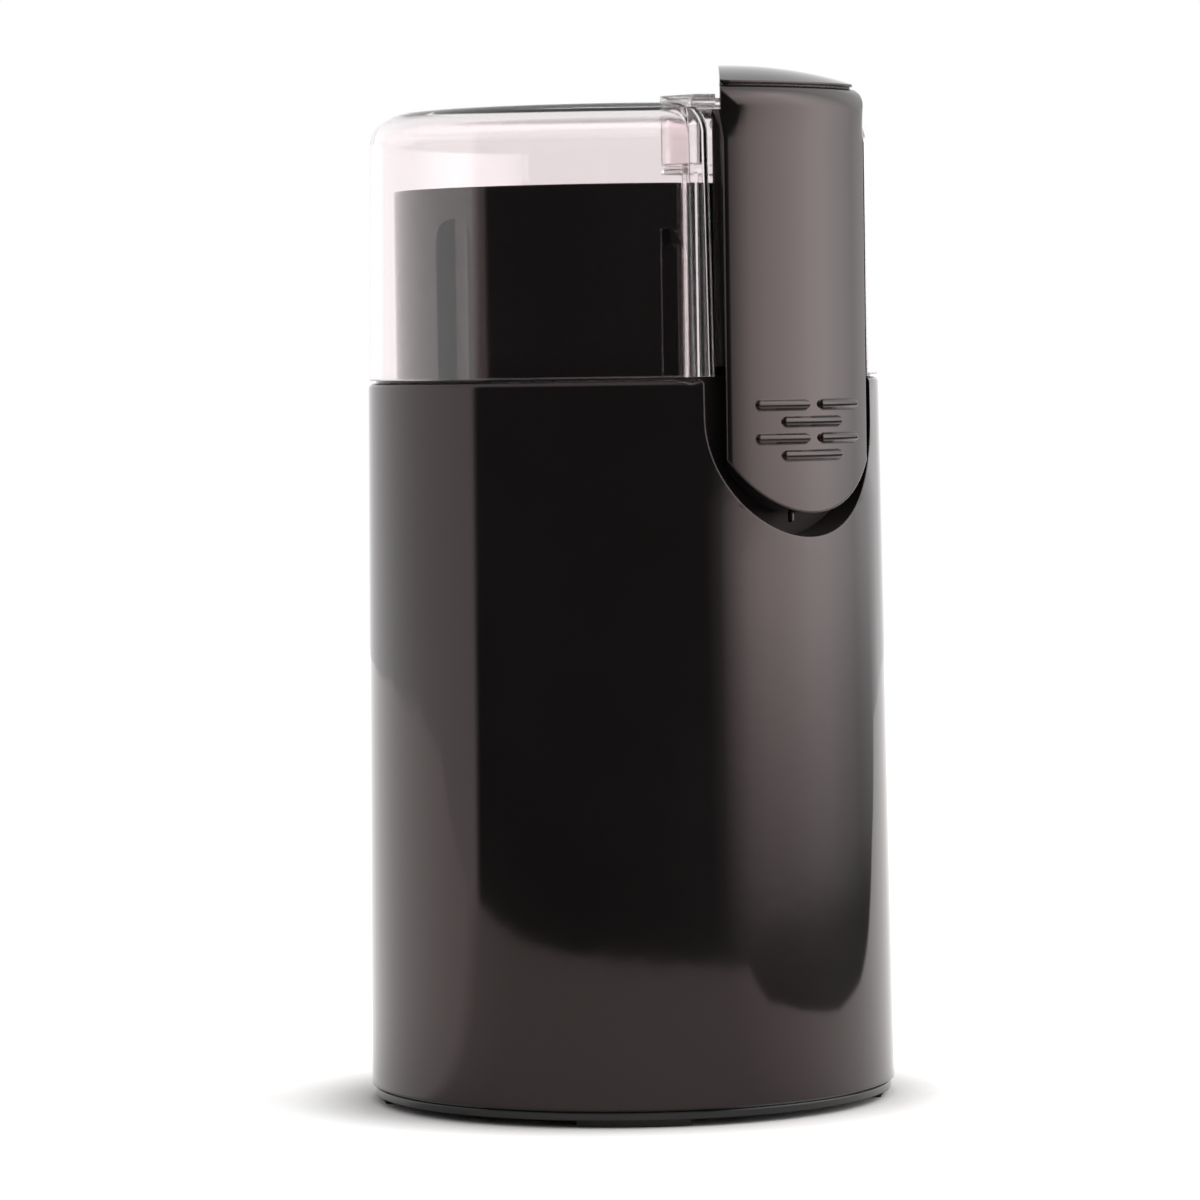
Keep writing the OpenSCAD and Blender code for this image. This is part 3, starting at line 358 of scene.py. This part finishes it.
# ---------------------------------------------------------------- stage
# The studio as a black gloss side shows it: (degrees round from the camera, to the right; brightness).
# A white sweep on the left and behind, a dark room in front, and one soft box on the right.
STUDIO_ROUND = [
    (-180, 1.1), (-100, 1.1), (-72, 1.2), (-69.5, 0.03), (36, 0.03), (42, 0.35), (49, 1.5), (56, 2.6), (64, 3.2),
    (81, 3.7), (90, 3.9), (100, 3.5), (111, 2.45), (124, 1.4), (140, 1.2), (180, 1.1)]
# The soft box by height: (degrees above the horizon; share of its brightness)
SOFT_BOX_RISE = [(-90, 0.05), (-5, 0.05), (-4.6, 0.1), (-4.2, 0.33), (-3.1, 0.5), (-2.1, 0.73), (-1.1, 0.97),
                 (0, 1), (90, 1)]
BOX_STARTS, BOX_ENDS = (30, 36), (138, 150)   # the soft box lies between these turns, in degrees
CEILING_FROM = (8, 30)        # heights in degrees between which the walls pass into the ceiling
BOX_CEILING_FROM = (50, 75)   # the same over the soft box, which stands higher, as the lever's shoulder shows
CEILING = 0.9                 # brightness overhead
BRIGHTEST = 4                 # the curves' values are shares of this
FLOOR_LIGHT = 0.62            # how much the camera sees the floor lifted, so that it is white
SHADE_REACH = 0.03            # how far the base's painted contact shade reaches on the floor
SHADE_DARK, SHADE_NONE = 0.56, 0.86           # shares of open sky that take all, or none, of the lift away
# Clear plastic is seen to pass on the white background after this many turns inside its walls, within
# this many passes through its faces.
LED_TURNS, LED_PASSES = 1.5, 7.5
GLOSSY_BOUNCES, CLEAR_BOUNCES = 16, 24        # light leaves the lid's clear rims after many turns in them
LAMP_PLACE, LAMP_WIDTH, LAMP_WATTS = (0.3, -0.3, 0.5), 0.4, 0.7


def curve_of(tree, source, points, low, high, top):
    """A value that follows points, read from low to high."""
    share = add_node(tree, "ShaderNodeMapRange", {"From Min": low, "From Max": high}, {"Value": source})
    ramp = add_node(tree, "ShaderNodeValToRGB", {}, {"Fac": share.outputs["Result"]})
    stops = ramp.color_ramp.elements
    while len(stops) > 1:
        stops.remove(stops[-1])
    for n, (place, value) in enumerate(points):
        stop = stops[0] if n == 0 else stops.new((place - low) / (high - low))
        stop.position = (place - low) / (high - low)
        stop.color = [value / top] * 3 + [1]
    scaled = add_node(tree, "ShaderNodeMath", {"operation": "MULTIPLY", 1: top}, {0: ramp.outputs["Color"]})
    return scaled.outputs["Value"]


def seen_straight(tree):
    """1 for what the camera sees, directly or through clear plastic, and for light led inside its walls."""
    path = add_node(tree, "ShaderNodeLightPath", {}, {})
    bounces = add_node(tree, "ShaderNodeMath", {"operation": "ADD"},
                       {0: path.outputs["Glossy Depth"], 1: path.outputs["Diffuse Depth"]})
    none = add_node(tree, "ShaderNodeMath", {"operation": "LESS_THAN", 1: 0.5}, {0: bounces.outputs["Value"]})
    few_passes = add_node(tree, "ShaderNodeMath", {"operation": "LESS_THAN", 1: LED_PASSES},
                          {0: path.outputs["Transmission Depth"]})
    turns = add_node(tree, "ShaderNodeMath", {"operation": "GREATER_THAN", 1: LED_TURNS},
                     {0: path.outputs["Glossy Depth"]})
    led = add_node(tree, "ShaderNodeMath", {"operation": "MULTIPLY"},
                   {0: few_passes.outputs["Value"], 1: turns.outputs["Value"]})
    clear = add_node(tree, "ShaderNodeMath", {"operation": "MAXIMUM"},
                     {0: none.outputs["Value"], 1: led.outputs["Value"]})
    through = add_node(tree, "ShaderNodeMath", {"operation": "MULTIPLY"},
                       {0: path.outputs["Is Transmission Ray"], 1: clear.outputs["Value"]})
    either = add_node(tree, "ShaderNodeMath", {"operation": "MAXIMUM"},
                      {0: path.outputs["Is Camera Ray"], 1: through.outputs["Value"]})
    return either.outputs["Value"]


def between(tree, value, span, falls=False):
    """A value as a share of the way through span, from 0 to 1, or from 1 to 0 where it falls."""
    share = add_node(tree, "ShaderNodeMapRange", {
        "From Min": span[0], "From Max": span[1], "To Min": int(falls), "To Max": int(not falls)}, {"Value": value})
    return share.outputs["Result"]


def dress_world():
    world = bpy.data.worlds.new("studio")
    bpy.context.scene.world = world
    world.use_nodes = True
    tree = world.node_tree
    tree.nodes.clear()
    back, right = camera_directions()
    direction = add_node(tree, "ShaderNodeTexCoord", {}, {}).outputs["Generated"]
    to_right = add_node(tree, "ShaderNodeVectorMath", {"operation": "DOT_PRODUCT", 1: right}, {0: direction})
    to_camera = add_node(tree, "ShaderNodeVectorMath", {"operation": "DOT_PRODUCT", 1: back}, {0: direction})
    up = add_node(tree, "ShaderNodeVectorMath", {"operation": "DOT_PRODUCT", 1: (0, 0, 1)}, {0: direction})
    turn = add_node(tree, "ShaderNodeMath", {"operation": "ARCTAN2"},
                    {0: to_right.outputs["Value"], 1: to_camera.outputs["Value"]})
    turn_degrees = add_node(tree, "ShaderNodeMath", {"operation": "DEGREES"}, {0: turn.outputs["Value"]})
    rise = add_node(tree, "ShaderNodeMath", {"operation": "ARCSINE"}, {0: up.outputs["Value"]})
    rise_degrees = add_node(tree, "ShaderNodeMath", {"operation": "DEGREES"}, {0: rise.outputs["Value"]})
    turned, risen = turn_degrees.outputs["Value"], rise_degrees.outputs["Value"]
    round_level = curve_of(tree, turned, STUDIO_ROUND, -180, 180, BRIGHTEST)
    box_share = curve_of(tree, risen, SOFT_BOX_RISE, -90, 90, 1)
    # the soft box ends behind the object, where the white sweep goes on down to the floor
    is_box = add_node(tree, "ShaderNodeMath", {"operation": "MULTIPLY"},
                      {0: between(tree, turned, BOX_STARTS), 1: between(tree, turned, BOX_ENDS, falls=True)})
    share = add_node(tree, "ShaderNodeMix", {"data_type": "FLOAT", 2: 1.0},
                     {0: is_box.outputs["Value"], 3: box_share})
    walls = add_node(tree, "ShaderNodeMath", {"operation": "MULTIPLY"}, {0: round_level, 1: share.outputs[0]})
    ceiling = add_node(tree, "ShaderNodeMix", {"data_type": "FLOAT"},
                       {0: is_box.outputs["Value"], 2: between(tree, risen, CEILING_FROM),
                        3: between(tree, risen, BOX_CEILING_FROM)})
    studio = add_node(tree, "ShaderNodeMix", {"data_type": "FLOAT", 3: CEILING},
                      {0: ceiling.outputs[0], 2: walls.outputs["Value"]})
    level = add_node(tree, "ShaderNodeMix", {"data_type": "FLOAT", 3: 1.0},
                     {0: seen_straight(tree), 2: studio.outputs[0]})
    shade = add_node(tree, "ShaderNodeBackground", {"Color": linear("#FFFFFF")}, {"Strength": level.outputs[0]})
    add_node(tree, "ShaderNodeOutputWorld", {}, {"Surface": shade.outputs["Background"]})


def add_lamp():
    """A soft lamp that lights the floor and the matt pieces, and isn't reflected."""
    data = bpy.data.lights.new("right_lamp", "AREA")
    data.shape, data.size = "DISK", LAMP_WIDTH
    data.energy = LAMP_WATTS
    lamp = bpy.data.objects.new("right_lamp", data)
    bpy.context.scene.collection.objects.link(lamp)
    lamp.location = LAMP_PLACE
    lamp.visible_glossy = lamp.visible_transmission = lamp.visible_camera = False


# Outline of the floor board: (degrees round from the camera, to the right; distance from the housing's axis).
# Its near edge lies where the photograph's gloss shows the floor end.
FLOOR_EDGE = [(-75, 0.6), (-55, 0.46), (-34, 0.41), (-13, 0.39), (4, 0.38), (20, 0.37), (35, 0.36), (49, 0.34),
              (53, 0.29), (57, 0.255), (64, 0.243), (75, 0.222), (84, 0.21), (93, 0.206), (102, 0.222), (111, 0.245),
              (118, 0.29), (124, 0.364), (132, 0.6), (140, 1.2), (155, 1.5), (180, 1.6), (205, 1.6), (230, 1.6),
              (255, 1.5), (270, 1.2)]
# Painted light on the floor, as its glow: what the sweep and the soft box add to it, as the gloss shows it: (degrees
# round; brightness)
FLOOR_PAINTED_GLOW = [(-180, 0.7), (-95, 0.7), (-74, 0.62), (-66, 0.12), (-50, 0), (40, 0), (60, 0.25), (80, 0.45),
               (100, 0.5), (125, 0.6), (180, 0.7)]


def lay_floor():
    back, right = camera_directions()
    shape = bmesh.new()
    corners = []
    for turn, reach in FLOOR_EDGE:
        turn = math.radians(turn)
        corners.append(shape.verts.new((right * math.sin(turn) + back * math.cos(turn)) * reach))
    shape.faces.new(corners)
    bmesh.ops.recalc_face_normals(shape, faces=shape.faces)
    mesh = bpy.data.meshes.new("floor")
    shape.to_mesh(mesh)
    shape.free()
    floor = bpy.data.objects.new("floor", mesh)
    bpy.context.scene.collection.objects.link(floor)
    material = bpy.data.materials.new("pale_floor")
    material.use_nodes = True
    tree = material.node_tree
    tree.nodes.clear()
    place = add_node(tree, "ShaderNodeTexCoord", {}, {})
    to_right = add_node(tree, "ShaderNodeVectorMath", {"operation": "DOT_PRODUCT", 1: right},
                        {0: place.outputs["Object"]})
    to_camera = add_node(tree, "ShaderNodeVectorMath", {"operation": "DOT_PRODUCT", 1: back},
                         {0: place.outputs["Object"]})
    turn = add_node(tree, "ShaderNodeMath", {"operation": "ARCTAN2"},
                    {0: to_right.outputs["Value"], 1: to_camera.outputs["Value"]})
    turn_degrees = add_node(tree, "ShaderNodeMath", {"operation": "DEGREES"}, {0: turn.outputs["Value"]})
    # painted light: for all rays but straight ones, the floor glows with the sweep's and the soft box's share
    painted_sweep_glow = curve_of(tree, turn_degrees.outputs["Value"], FLOOR_PAINTED_GLOW, -180, 180, 1)
    lift = add_node(tree, "ShaderNodeMix", {"data_type": "FLOAT", 3: FLOOR_LIGHT}, {0: seen_straight(tree), 2: painted_sweep_glow})
    # painted contact shade: ambient occlusion takes the glow away close to the base, where the photograph's floor is
    # darkest, over the real shade of the board
    near = add_node(tree, "ShaderNodeAmbientOcclusion", {"samples": 8, "Distance": SHADE_REACH}, {})
    glow_with_painted_shade = add_node(tree, "ShaderNodeMath", {"operation": "MULTIPLY"},
                   {0: lift.outputs[0], 1: between(tree, near.outputs["AO"], (SHADE_DARK, SHADE_NONE))})
    board = add_node(tree, "ShaderNodeBsdfDiffuse", {"Color": linear("#CDCBCA")}, {})
    glow = add_node(tree, "ShaderNodeEmission", {"Color": linear("#FFFFFF")}, {"Strength": glow_with_painted_shade.outputs["Value"]})
    both = add_node(tree, "ShaderNodeAddShader", {}, {0: board.outputs["BSDF"], 1: glow.outputs["Emission"]})
    add_node(tree, "ShaderNodeOutputMaterial", {}, {"Surface": both.outputs["Shader"]})
    mesh.materials.append(material)


place_camera()
dress_nodes()
press_lever()
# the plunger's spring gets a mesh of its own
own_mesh(frame["nodes"]["plunger_spring"])
add_lamp()
dress_world()
lay_floor()
bpy.context.scene.view_settings.view_transform = "Standard"
bpy.context.scene.cycles.glossy_bounces = GLOSSY_BOUNCES
bpy.context.scene.cycles.transmission_bounces = bpy.context.scene.cycles.max_bounces = CLEAR_BOUNCES
